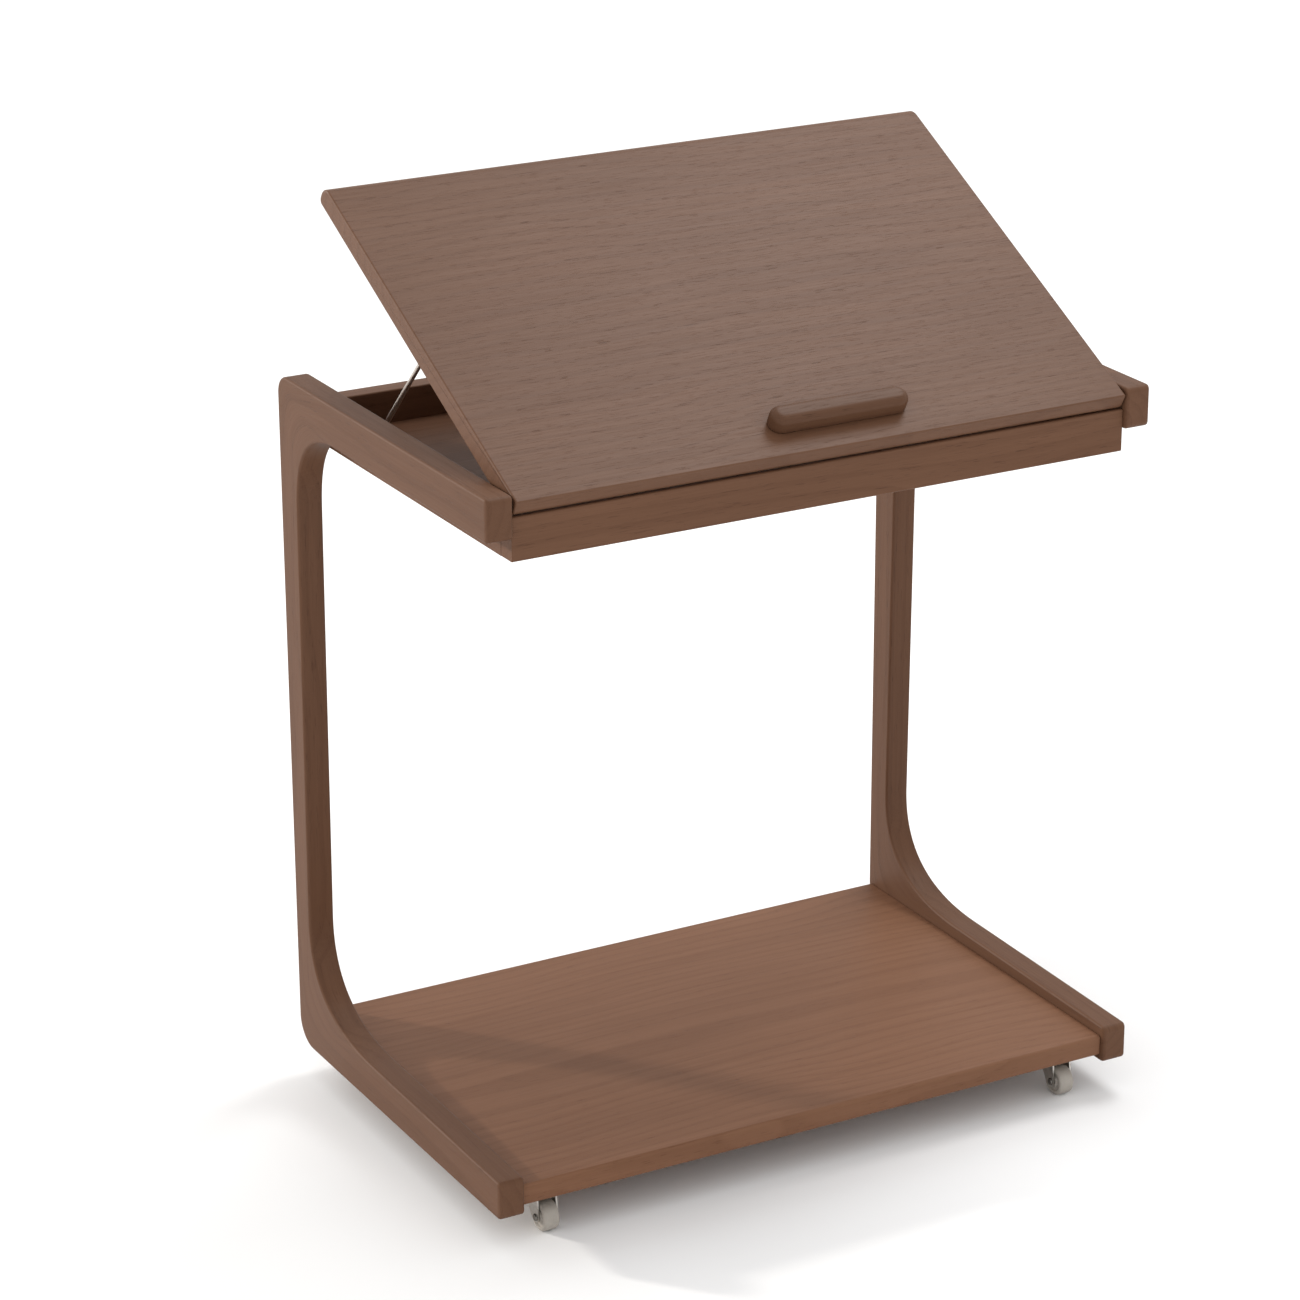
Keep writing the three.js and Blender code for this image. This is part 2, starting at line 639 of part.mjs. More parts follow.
/** The slotted steel track on the tray's side board. */
function stayTrack(side) {
  const face = TRAY_HALF - TRAY_SIDE_THICK - SLIT;
  const low = face - TRACK_THICK;
  const [frontScrew, backScrew] = trackScrewPlaces();
  const line = slotLine();
  const ear = (to, from, half) => roundedOutline([
    [to[0] - half, to[1] - half, half - 0.1], [from[0] + 4, to[1] - half, 0],
    [from[0] + 4, to[1] + half, 0], [to[0] - half, to[1] + half, half - 0.1],
  ]);
  const frontEnd = line[line.length - 1];
  const frontEar = extrudeX(ear(frontScrew, [frontEnd.x, frontEnd.y], 4.6), low, face, 0, 4);
  const tabOutline = roundedOutline([
    [backScrew[0] - 4.6, backScrew[1] - 9, 0], [backScrew[0] + 4.6, backScrew[1] - 9, 0],
    [backScrew[0] + 4.6, backScrew[1] + 4.6, 4.5], [backScrew[0] - 4.6, backScrew[1] + 4.6, 4.5],
  ]);
  const backTab = extrudeX(tabOutline, low, face, 0, 4);
  const band = extrudeX(slotBand(TRACK_HALF), low, face);
  const slot = extrudeX(slotBand(SLOT_HALF), low - 1, face + 1);
  const holes = trackScrewPlaces().map((place) => trackScrew(1, place, 0.15));
  const track = cut(join(band, frontEar, backTab), slot, ...holes);
  return side < 0 ? mirrorX(track) : track;
}

/** A screw of the track, its head flush in the plate; grown by `play` it is its own hole. */
function trackScrew(side, [y, z], play = 0) {
  const face = TRAY_HALF - TRAY_SIDE_THICK - SLIT - TRACK_THICK + (play > 0 ? -0.05 : 0.1);
  return countersunkScrew(side, side * face, y, z, TRACK_SCREW_LENGTH, play);
}

/** The stay's wire, with a flattened eye at each end; its upper pivot is the origin. */
function stayRod() {
  const length = STAY_LENGTH - 2 * (STAY_EYE - 1);
  const wire = new THREE.CylinderGeometry(STAY_WIRE, STAY_WIRE, length, 16);
  wire.translate(0, STAY_LENGTH / 2, 0);
  const eye = (y) => barX(STAY_EYE, -STAY_EYE_THICK / 2, STAY_EYE_THICK / 2, y, 0);
  const hole = (y) => barX(SLIDER_RADIUS + RUNNING_PLAY, -5, 5, y, 0);
  return cut(join(wire, eye(0), eye(STAY_LENGTH)), hole(0), hole(STAY_LENGTH));
}

/** The headed slider at the stay's lower end, which runs in the track's slot. */
function staySlider(side) {
  const eye = STAY_EYE_THICK / 2;
  const plateOut = TRAY_HALF - TRAY_SIDE_THICK - SLIT - STAY_X;
  const slider = turnedX([
    [0, -eye - 1.7], [2.8, -eye - 1.7], [3.5, -eye - 0.9], [3.5, -eye - 0.1],
    [SLIDER_RADIUS, -eye - 0.1], [SLIDER_RADIUS, plateOut + 0.6], [3.6, plateOut + 0.6],
    [3.6, plateOut + 2], [0, plateOut + 2],
  ]).translate(0, STAY_LENGTH, 0);
  return side < 0 ? mirrorX(slider) : slider;
}

/** A stay: what is fixed to the tray, and the rod with its slider. */
function stay(side) {
  const label = side < 0 ? 'left' : 'right';
  const [frontScrew, backScrew] = trackScrewPlaces();
  const moving = new THREE.Group();
  const pivot = stayPivot(LID_REST_DEG);
  moving.position.set(side * STAY_X, pivot.x, pivot.y);
  moving.rotation.x = -rad(stayDrop(LID_REST_DEG));
  moving.add(
    piece(`${label}_stay_rod`, stayRod(), steel()),
    piece(`${label}_stay_slider`, staySlider(side), darkSteel()),
  );
  return [
    piece(`${label}_stay_track`, stayTrack(side), steel()),
    piece(`${label}_track_screw_front`, trackScrew(side, frontScrew), darkSteel()),
    piece(`${label}_track_screw_back`, trackScrew(side, backScrew), darkSteel()),
    moving,
  ];
}

// ---------------------------------------------------------------- casters

const PLATE_LENGTH = 38;
const PLATE_WIDTH = 32;
const FORK_TOP = CASTER_HEIGHT - 4.6;
const FORK_PLATE = 1.5;
const CHEEK_IN = WHEEL_WIDTH / 2 + 0.7;
const CHEEK_THICK = 1.5;
const AXLE_RADIUS = 2;

/** The top plate with its ball cup and the kingpin, about the swivel axis. */
function casterPlate() {
  const high = CASTER_HEIGHT - SLIT;
  const low = high - 1.5;
  const outline = roundedOutline([
    [-PLATE_LENGTH / 2, -PLATE_WIDTH / 2, 5], [PLATE_LENGTH / 2, -PLATE_WIDTH / 2, 5],
    [PLATE_LENGTH / 2, PLATE_WIDTH / 2, 5], [-PLATE_LENGTH / 2, PLATE_WIDTH / 2, 5],
  ]);
  const turned = (points) => {
    const profile = points.map(([radius, height]) => new THREE.Vector2(radius, height));
    return new THREE.LatheGeometry(profile, 24).rotateX(Math.PI / 2);
  };
  const kingpin = turned([
    [0, FORK_TOP - FORK_PLATE - 1.5], [3.2, FORK_TOP - FORK_PLATE - 1.5],
    [4.4, FORK_TOP - FORK_PLATE - 0.4], [3, FORK_TOP - FORK_PLATE - 0.4],
    [3, FORK_TOP + 1.6], [9, FORK_TOP + 1.6], [10.5, low], [0, low + 0.5],
  ]);
  return join(extrudeZ(outline, low, high, 0, 4), kingpin);
}

/** The swivelling fork: a top plate with its race and two cheeks. */
function casterFork() {
  const under = FORK_TOP - FORK_PLATE;
  const outerX = CHEEK_IN + CHEEK_THICK;
  const roof = block([-outerX, -10, under], [outerX, 9, FORK_TOP]);
  const race = barZ(8.6, under, FORK_TOP + 1.2, 0, 0);
  const cheekOutline = roundedOutline([
    [-CASTER_TRAIL - 4.6, WHEEL_RADIUS - 4.6, 4.5], [-CASTER_TRAIL + 4.6, WHEEL_RADIUS - 4.6, 4.5],
    [9, FORK_TOP - 6, 1], [9, FORK_TOP, 1], [-10, FORK_TOP, 1], [-12, WHEEL_RADIUS + 4, 1],
  ]);
  const cheek = (x0, x1) => extrudeX(cheekOutline, x0, x1, 0, 5);
  const whole = join(roof, race, cheek(CHEEK_IN, outerX), cheek(-outerX, -CHEEK_IN));
  const kingHole = barZ(3.2, under - 1, FORK_TOP + 3, 0, 0);
  const axleHole = barX(AXLE_RADIUS + 0.1, -20, 20, -CASTER_TRAIL, WHEEL_RADIUS);
  return cut(whole, kingHole, axleHole);
}

/** The riveted axle. */
function casterAxle() {
  const end = CHEEK_IN + CHEEK_THICK + 0.2;
  return turnedX([
    [0, -end - 1], [2.6, -end - 1], [3.2, -end], [AXLE_RADIUS, -end],
    [AXLE_RADIUS, end], [3.2, end], [2.6, end + 1], [0, end + 1],
  ], 20);
}

/** The wheel: a round-shouldered tyre with a dished hub on each side. */
function casterWheel() {
  const half = WHEEL_WIDTH / 2;
  const bore = AXLE_RADIUS + 0.15;
  const shoulder = 2.4;
  const halfProfile = [
    [bore, half], [4.6, half], [5.4, half - 1.6], [8.4, half - 1.6], [9.2, half - 0.2],
    [WHEEL_RADIUS - shoulder, half],
    [WHEEL_RADIUS - shoulder * 0.3, half - shoulder * 0.3],
    [WHEEL_RADIUS, half - shoulder],
  ];
  const across = halfProfile.map(([radius, x]) => [radius, -x]);
  const back = halfProfile.slice().reverse();
  return turnedX([...across, ...back, across[0]], 32);
}

/** One caster, standing under the shelf at (x, y) with its wheel trailing to the front. */
function caster(name, x, y) {
  const group = new THREE.Group();
  group.position.set(x, y, 0);
  const axle = piece(`${name}_axle`, casterAxle(), darkSteel());
  const wheel = piece(`${name}_wheel`, casterWheel(), greyRubber());
  for (const turning of [axle, wheel]) turning.position.set(0, -CASTER_TRAIL, WHEEL_RADIUS);
  group.add(
    piece(`${name}_plate`, casterPlate(), steel()),
    piece(`${name}_fork`, casterFork(), steel()),
    axle,
    wheel,
  );
  return group;
}

// ---------------------------------------------------------------- the whole table

const table = new THREE.Group();
table.add(...sideFrame(-1), ...sideFrame(1));
table.add(shelf(), ...shelfDowels());
table.add(...trayBoards(), traySide(-1), traySide(1), ...trayScrews());
table.add(...pivots(), lid(), ...stay(-1), ...stay(1));
table.add(
  caster('caster_front_left', -CASTER_X, CASTER_FRONT_Y),
  caster('caster_front_right', CASTER_X, CASTER_FRONT_Y),
  caster('caster_back_left', -CASTER_X, CASTER_BACK_Y),
  caster('caster_back_right', CASTER_X, CASTER_BACK_Y),
);

export default table;
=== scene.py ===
"""The looks of a rolling side table with a tilting reading top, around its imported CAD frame.

Metres, in the frame of the CAD: +Z is up, +X to the user's right, -Y the open front of the C.
"""

import json
import math

import bmesh
import bpy
from mathutils import Matrix, Vector


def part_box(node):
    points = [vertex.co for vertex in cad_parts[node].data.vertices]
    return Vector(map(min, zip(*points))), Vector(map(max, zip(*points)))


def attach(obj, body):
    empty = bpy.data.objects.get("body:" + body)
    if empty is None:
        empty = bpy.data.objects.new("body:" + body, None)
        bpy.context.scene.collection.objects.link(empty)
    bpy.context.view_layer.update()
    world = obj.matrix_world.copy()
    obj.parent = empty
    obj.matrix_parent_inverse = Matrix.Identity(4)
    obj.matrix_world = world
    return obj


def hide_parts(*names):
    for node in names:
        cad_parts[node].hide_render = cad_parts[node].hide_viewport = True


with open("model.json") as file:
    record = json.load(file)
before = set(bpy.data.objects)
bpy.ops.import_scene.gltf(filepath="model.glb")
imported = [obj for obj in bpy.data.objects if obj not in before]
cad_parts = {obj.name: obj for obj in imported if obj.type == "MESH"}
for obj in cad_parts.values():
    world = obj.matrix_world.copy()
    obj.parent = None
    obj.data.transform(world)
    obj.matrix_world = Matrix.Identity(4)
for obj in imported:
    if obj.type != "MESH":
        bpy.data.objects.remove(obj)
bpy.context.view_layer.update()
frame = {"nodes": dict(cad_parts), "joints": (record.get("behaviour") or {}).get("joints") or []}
nodes = frame["nodes"]
joints = {joint["name"]: joint for joint in frame["joints"]}
scene = bpy.context.scene

MM = 0.001
SIDES = (("left", -1), ("right", 1))
CASTERS = ("front_left", "front_right", "back_left", "back_right")


# ---------------------------------------------------------------- material nodes


class Graph:
    """A node material with short calls for the nodes that it needs."""

    def __init__(self, name):
        self.material = bpy.data.materials.new(name)
        self.material.use_nodes = True
        self.tree = self.material.node_tree
        self.shader = self.tree.nodes["Principled BSDF"]

    def node(self, kind, inputs=(), **settings):
        made = self.tree.nodes.new(kind)
        for name, value in settings.items():
            setattr(made, name, value)
        for key, value in dict(inputs).items():
            if isinstance(value, bpy.types.NodeSocket):
                self.tree.links.new(value, made.inputs[key])
            else:
                made.inputs[key].default_value = value
        return made

    def math(self, operation, a, b=0.0, c=0.0):
        made = self.node("ShaderNodeMath", {0: a, 1: b, 2: c}, operation=operation)
        return made.outputs[0]

    def stretched(self, vector, scale, offset=(0, 0, 0)):
        inputs = {"Vector": vector, "Scale": scale, "Location": offset}
        return self.node("ShaderNodeMapping", inputs).outputs[0]

    def noise(self, vector, scale=1.0, detail=3.0, rough=0.5, distortion=0.0):
        inputs = {
            "Vector": vector,
            "Scale": scale,
            "Detail": detail,
            "Roughness": rough,
            "Distortion": distortion,
        }
        return self.node("ShaderNodeTexNoise", inputs).outputs["Fac"]

    def spread(self, value, low, high, to_low=0.0, to_high=1.0, smooth=False):
        made = self.node("ShaderNodeMapRange", {0: value, 1: low, 2: high, 3: to_low, 4: to_high})
        made.clamp = True
        if smooth:
            made.interpolation_type = "SMOOTHSTEP"
        return made.outputs[0]

    def mix(self, factor, a, b, blend="MIX"):
        made = self.node("ShaderNodeMix", data_type="RGBA", blend_type=blend)
        for key, value in ((0, factor), (6, a), (7, b)):
            if isinstance(value, bpy.types.NodeSocket):
                self.tree.links.new(value, made.inputs[key])
            else:
                made.inputs[key].default_value = value
        return made.outputs[2]

    def set(self, **values):
        for name, value in values.items():
            socket = self.shader.inputs[name.replace("_", " ")]
            if isinstance(value, bpy.types.NodeSocket):
                self.tree.links.new(value, socket)
            else:
                socket.default_value = value

    def bump(self, height, strength, distance):
        made = self.node(
            "ShaderNodeBump", {"Height": height, "Strength": strength, "Distance": distance}
        )
        self.tree.links.new(made.outputs[0], self.shader.inputs["Normal"])


def srgb(red, green, blue):
    """A linear colour from 0 to 255 display values."""

    def linear(value):
        value /= 255
        return value / 12.92 if value <= 0.04045 else ((value + 0.055) / 1.055) ** 2.4

    return (linear(red), linear(green), linear(blue), 1.0)


def shade(colour, factor):
    return (colour[0] * factor, colour[1] * factor, colour[2] * factor, 1.0)


WALNUT = srgb(104, 73, 54)


def wood(
    name, seed, tone=1.0, heart=(0.05, -0.09), grain="attribute", base=WALNUT, gloss=0.5, lustre=0.14
):
    """Matt-lacquered wood. Its grain runs along the first part of the grain coordinate.

    gloss is the roughness and lustre the strength of the surface reflection.

    grain is "attribute" for pieces that carry their own grain coordinate, or a rotation in
    degrees that turns object coordinates into one.
    """
    g = Graph(name)
    if grain == "attribute":
        along = g.node("ShaderNodeAttribute", attribute_name="grain").outputs["Vector"]
    else:
        place = g.node("ShaderNodeTexCoord").outputs["Object"]
        turn = [math.radians(angle) for angle in grain]
        along = g.node("ShaderNodeMapping", {"Vector": place, "Rotation": turn}).outputs[0]
    along = g.stretched(along, (1, 1, 1), (seed * 1.37, seed * 0.113, seed * 0.071))

    # growth rings about a heart line that wanders along the board
    parts = g.node("ShaderNodeSeparateXYZ", {0: along})
    wander = g.noise(g.stretched(along, (2.6, 5, 5)), 1.0, 2.0, 0.5)
    wander_fine = g.noise(g.stretched(along, (9, 40, 40)), 1.0, 2.0, 0.5)
    drift = g.math("MULTIPLY_ADD", wander, 0.09, -0.045)
    drift = g.math("MULTIPLY_ADD", wander_fine, 0.006, drift)
    across = g.math("ADD", g.math("SUBTRACT", parts.outputs[1], heart[0] + seed * 0.113), drift)
    depth = g.math("SUBTRACT", parts.outputs[2], heart[1] + seed * 0.071)
    radius = g.math("SQRT", g.math("ADD", g.math("POWER", across, 2), g.math("POWER", depth, 2)))
    ring = g.math("FRACT", g.math("MULTIPLY", radius, 92.0))
    late_wood = g.spread(ring, 0.45, 0.97, smooth=True)
    late_wood = g.math("MULTIPLY", late_wood, g.spread(ring, 1.0, 0.93, smooth=True))

    # fibres, pores and slow colour drift
    fibre = g.noise(g.stretched(along, (14, 620, 620)), 1.0, 3.0, 0.6)
    band = g.noise(g.stretched(along, (3.2, 70, 70)), 1.0, 3.0, 0.55)
    cloud = g.noise(g.stretched(along, (3.4, 8, 8)), 1.0, 2.0, 0.5)
    pore_noise = g.noise(g.stretched(along, (62, 1150, 1150)), 1.0, 1.5, 0.5)
    pore = g.spread(pore_noise, 0.615, 0.70, smooth=True)
    pore = g.math("MULTIPLY", pore, g.math("MULTIPLY_ADD", late_wood, 0.55, 0.45))

    light = shade(base, 1.10 * tone)
    middle = shade(base, 1.0 * tone)
    dark = (base[0] * 0.80 * tone, base[1] * 0.755 * tone, base[2] * 0.72 * tone, 1.0)
    deep = (base[0] * 0.52 * tone, base[1] * 0.46 * tone, base[2] * 0.42 * tone, 1.0)
    colour = g.mix(g.spread(cloud, 0.34, 0.68), middle, light)
    colour = g.mix(g.math("MULTIPLY", late_wood, 0.42), colour, dark)
    colour = g.mix(g.math("MULTIPLY", g.spread(band, 0.42, 0.72), 0.42), colour, dark)
    colour = g.mix(g.math("MULTIPLY", g.spread(fibre, 0.42, 0.72), 0.30), colour, dark)
    colour = g.mix(g.math("MULTIPLY", pore, 0.62), colour, deep)
    # edges lightened towards a paler walnut: partly rubbed wear, partly a painted highlight for the
    # light that the rounded edges catch
    if grain == "attribute":
        edge = g.node("ShaderNodeAttribute", attribute_name="edge").outputs["Fac"]
        rubbed_and_highlit = g.math("MULTIPLY", edge, g.spread(band, 0.3, 0.7, 0.02, 0.12))
        colour = g.mix(rubbed_and_highlit, colour, shade(base, 1.35 * tone))
    g.set(Base_Color=colour)
    g.set(Roughness=g.math("MULTIPLY_ADD", fibre, 0.14, gloss - 0.05))
    g.set(Specular_IOR_Level=lustre)
    height = g.math("MULTIPLY_ADD", pore, -1.0, g.math("MULTIPLY", fibre, 0.35))
    g.bump(height, 0.35, 0.0004)
    return g.material


def steel(name, light=(196, 192, 186), roughness=0.28, brushed=(40, 40, 900)):
    """Zinc-plated steel: fine drawing lines and slight clouding."""
    g = Graph(name)
    place = g.node("ShaderNodeTexCoord").outputs["Object"]
    lines = g.noise(g.stretched(place, brushed), 1.0, 2.0, 0.6)
    cloud = g.noise(place, 160.0, 3.0, 0.6)
    base = srgb(*light)
    colour = g.mix(g.spread(cloud, 0.35, 0.7), base, shade(base, 0.82))
    colour = g.mix(g.math("MULTIPLY", g.spread(lines, 0.4, 0.75), 0.4), colour, shade(base, 0.62))
    rough = g.math("MULTIPLY_ADD", cloud, 0.16, roughness - 0.06)
    g.set(Base_Color=colour, Roughness=rough, Metallic=1.0)
    g.bump(lines, 0.25, 0.00008)
    return g.material


def plastic(name, colour, roughness, grain=2600.0, bump=0.00012):
    """Moulded plastic or rubber with a fine eggshell texture and dust-soft patches."""
    g = Graph(name)
    place = g.node("ShaderNodeTexCoord").outputs["Object"]
    fine = g.noise(place, grain, 2.0, 0.5)
    cloud = g.noise(place, 90.0, 3.0, 0.6)
    base = srgb(*colour)
    tinted = g.mix(g.spread(cloud, 0.35, 0.7), base, shade(base, 0.86))
    tinted = g.mix(g.math("MULTIPLY", g.spread(fine, 0.4, 0.7), 0.2), tinted, shade(base, 0.7))
    rough = g.math("MULTIPLY_ADD", cloud, 0.16, roughness - 0.08)
    g.set(Base_Color=tinted, Roughness=rough, Specular_IOR_Level=0.4)
    g.bump(fine, 0.4, bump)
    return g.material


# ---------------------------------------------------------------- mesh helpers


def finished(name, mesh, material, body, replaced=()):
    """An object of a mesh, smooth but with its flats kept flat, riding on its body."""
    for polygon in mesh.polygons:
        polygon.use_smooth = True
    made = bpy.data.objects.new(name, mesh)
    scene.collection.objects.link(made)
    made.data.materials.append(material)
    weighted = made.modifiers.new("flats", "WEIGHTED_NORMAL")
    weighted.weight = 80
    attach(made, body)
    if replaced:
        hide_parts(*replaced)
    return made


def put_attributes(mesh, grain, edge):
    """Grain coordinates and the share of edge rubbing and painted edge highlight, one for each
    vertex.
    """
    mesh.attributes.new("grain", "FLOAT_VECTOR", "POINT")
    mesh.attributes.new("edge", "FLOAT", "POINT")
    flat = [part for vector in grain for part in vector]
    mesh.attributes["grain"].data.foreach_set("vector", flat)
    mesh.attributes["edge"].data.foreach_set("value", edge)


def loft(rings):
    """A closed mesh through rings of points, all with the same count, capped at both ends."""
    count = len(rings[0])
    points = [point for ring in rings for point in ring]
    faces = []
    for i in range(len(rings) - 1):
        a, b = i * count, (i + 1) * count
        for j in range(count):
            k = (j + 1) % count
            faces.append((a + j, a + k, b + k, b + j))
    faces.append(tuple(reversed(range(count))))
    faces.append(tuple(range((len(rings) - 1) * count, len(rings) * count)))
    mesh = bpy.data.meshes.new("loft")
    mesh.from_pydata(points, [], faces)
    return outward(mesh)


def outward(mesh, weld=0.0):
    """The same mesh with every face turned outwards, and points nearer than weld merged."""
    work = bmesh.new()
    work.from_mesh(mesh)
    if weld:
        bmesh.ops.remove_doubles(work, verts=work.verts, dist=weld)
    bmesh.ops.recalc_face_normals(work, faces=work.faces)
    work.to_mesh(mesh)
    work.free()
    return mesh


def rounded_rectangle(low, high, radii, steps=5):
    """A closed outline in (u, v) with its own radius at each corner, and each point's share of edge
    wear and painted edge highlight.
    """
    (u0, v0), (u1, v1) = low, high
    corners = (
        (u0, v0, 1, 1, 180),
        (u1, v0, -1, 1, 270),
        (u1, v1, -1, -1, 0),
        (u0, v1, 1, -1, 90),
    )
    points, rubs_and_highlights = [], []
    for (u, v, su, sv, start), radius in zip(corners, radii):
        count = steps if radius < 5 * MM else 2 * steps
        centre = Vector((u + su * radius, v + sv * radius))
        for i in range(count + 1):
            a = math.radians(start + 90 * i / count)
            points.append(centre + Vector((math.cos(a), math.sin(a))) * radius)
            # share of edge wear and painted highlight, highest at the middle of each small rounding
            rubs_and_highlights.append(math.sin(math.pi * i / count) if radius < 5 * MM else 0.0)
    return points, rubs_and_highlights


def inward_normals(outline):
    """Unit normals that point into a closed outline drawn anticlockwise."""
    found = []
    for i in range(len(outline)):
        ahead = outline[(i + 1) % len(outline)] - outline[i - 1]
        found.append(Vector((-ahead.y, ahead.x)).normalized())
    return found


def bar(outline, rubs_and_highlights, x0, x1, end_round, far_corner=0.0, steps=5):
    """An outline swept along X. Its ends are rounded, and its +u corners may be in plan too."""
    inward = inward_normals(outline)
    far = max(point.x for point in outline)
    near = min(point.x for point in outline)
    places = []
    for k in range(steps + 1):
        t = math.pi / 2 * k / steps
        places.append((end_round * (1 - math.cos(t)), end_round * (1 - math.sin(t))))
    if far_corner > end_round:
        for k in range(1, steps + 1):
            places.append((end_round + (far_corner - end_round) * k / steps, 0.0))
    rings, grain, edge = [], [], []

    def add(x, distance, draw):
        back = 0.0
        if distance < far_corner:
            back = far_corner - math.sqrt(far_corner**2 - (far_corner - distance) ** 2)
        for point, normal, rub_and_highlight in zip(outline, inward, rubs_and_highlights):
            p = point + normal * draw
            if point.x > (near + far) / 2:
                p = Vector((p.x - back, p.y))
            current.append(Vector((x, p.x, p.y)))
            grain.append((x, p.x, p.y))
            # edge share: wear and painted highlight on the rounded edges and the rounded ends
            edge.append(max(rub_and_highlight, min(1.0, draw / max(end_round, 1e-6))))

    for distance, draw in places:
        current = []
        add(x0 + distance, distance, draw)
        rings.append(current)
    for distance, draw in reversed(places):
        current = []
        add(x1 - distance, distance, draw)
        rings.append(current)
    mesh = loft(rings)
    put_attributes(mesh, grain, edge)
    return mesh


def swap_axes(mesh, order):
    """Renames the axes of a bar's mesh, so that it runs along another axis than X."""
    for vertex in mesh.vertices:
        old = vertex.co.copy()
        vertex.co = Vector(old[i] for i in order)
    return outward(mesh)


def board(name, low, high, radii, material, body, replaced, along="X", end_round=1.5 * MM, **more):
    """A board between two corners that replaces a CAD board."""
    low, high = Vector(low), Vector(high)
    if along == "X":
        outline, rubs_and_highlights = rounded_rectangle(low.yz, high.yz, radii)
        mesh = bar(outline, rubs_and_highlights, low.x, high.x, end_round, **more)
    else:
        outline, rubs_and_highlights = rounded_rectangle(low.xz, high.xz, radii)
        mesh = bar(outline, rubs_and_highlights, low.y, high.y, end_round, **more)
        mesh = swap_axes(mesh, (1, 0, 2))
    return finished(name, mesh, material, body, replaced)


# ---------------------------------------------------------------- the side frames

FRAME_ROUND = 2.3 * MM
END_SOFTNESS = 5.0 * MM
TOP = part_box("left_arm")[1].z
ARM_UNDER = TOP - 35 * MM
ARM_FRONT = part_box("left_arm")[0].y
LEG_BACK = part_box("left_leg")[1].y
LEG_FRONT_TOP, LEG_FRONT_BOTTOM = 157.5 * MM, 162.5 * MM
RAIL_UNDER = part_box("left_rail")[0].z
RAIL_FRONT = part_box("left_rail")[0].y
RAIL_TOP_FRONT, RAIL_TOP_BACK = 62.5 * MM, 65.5 * MM
TOP_BEND, RAIL_BEND_UP, RAIL_BEND_ALONG = 75 * MM, 85 * MM, 122 * MM
TOP_BACK_RADIUS, BOTTOM_BACK_RADIUS = 16 * MM, 25 * MM


def line(start, end, count):
    """Points from start towards end, without the end."""
    return [Vector(start).lerp(Vector(end), i / count) for i in range(count)]


def quadratic(a, b, c, count):
    """Points of a quadratic bend from a to c, without c."""
    a, b, c = Vector(a), Vector(b), Vector(c)
    steps = [i / count for i in range(count)]
    return [a * (1 - t) ** 2 + b * 2 * t * (1 - t) + c * t * t for t in steps]


def quarter(enter, corner, leave, count):
    """A quarter round from enter to leave, without its last point."""
    enter, corner, leave = Vector(enter), Vector(corner), Vector(leave)
    first, second = enter.lerp(corner, 0.5523), leave.lerp(corner, 0.5523)
    points = []
    for t in (i / count for i in range(count)):
        near = enter * (1 - t) ** 3 + first * 3 * t * (1 - t) ** 2
        points.append(near + second * 3 * t * t * (1 - t) + leave * t**3)
    return points


def inner_line():
    """The C's inside, from the front end of the arm to the front end of the rail."""
    arm_end = (LEG_FRONT_TOP - TOP_BEND, ARM_UNDER)
    leg_start = (LEG_FRONT_TOP, ARM_UNDER - TOP_BEND)
    leg_end = (LEG_FRONT_BOTTOM, RAIL_TOP_BACK + RAIL_BEND_UP)
    rail_start = (LEG_FRONT_BOTTOM - RAIL_BEND_ALONG, RAIL_TOP_BACK)
    points = line((ARM_FRONT, ARM_UNDER), arm_end, 24)
    points += quadratic(arm_end, (LEG_FRONT_TOP, ARM_UNDER), leg_start, 28)
    points += line(leg_start, leg_end, 30)
    points += quadratic(leg_end, (LEG_FRONT_BOTTOM, RAIL_TOP_BACK), rail_start, 32)
    points += line(rail_start, (RAIL_FRONT, RAIL_TOP_FRONT), 20)
    return points + [Vector((RAIL_FRONT, RAIL_TOP_FRONT))]


def outer_line():
    """The C's outside, with as many points as the inside, each opposite its own."""
    r, s = TOP_BACK_RADIUS, BOTTOM_BACK_RADIUS
    arm_end = (LEG_FRONT_TOP - TOP_BEND, TOP)
    leg_start = (LEG_BACK, ARM_UNDER - TOP_BEND)
    leg_end = (LEG_BACK, RAIL_TOP_BACK + RAIL_BEND_UP)
    rail_start = (LEG_FRONT_BOTTOM - RAIL_BEND_ALONG, RAIL_UNDER)
    points = line((ARM_FRONT, TOP), arm_end, 24)
    points += line(arm_end, (LEG_BACK - r, TOP), 8)
    points += quarter((LEG_BACK - r, TOP), (LEG_BACK, TOP), (LEG_BACK, TOP - r), 12)
    points += line((LEG_BACK, TOP - r), leg_start, 8)
    points += line(leg_start, leg_end, 30)
    points += line(leg_end, (LEG_BACK, RAIL_UNDER + s), 8)
    low_back = (LEG_BACK - s, RAIL_UNDER)
    points += quarter((LEG_BACK, RAIL_UNDER + s), (LEG_BACK, RAIL_UNDER), low_back, 14)
    points += line(low_back, rail_start, 10)
    points += line(rail_start, (RAIL_FRONT, RAIL_UNDER), 20)
    return points + [Vector((RAIL_FRONT, RAIL_UNDER))]


def line_normals(points, sign):
    """The unit normal of an open line at each point, to its left times sign."""
    found = []
    for i in range(len(points)):
        ahead = points[min(i + 1, len(points) - 1)] - points[max(i - 1, 0)]
        found.append(Vector((-ahead.y, ahead.x)).normalized() * sign)
    return found


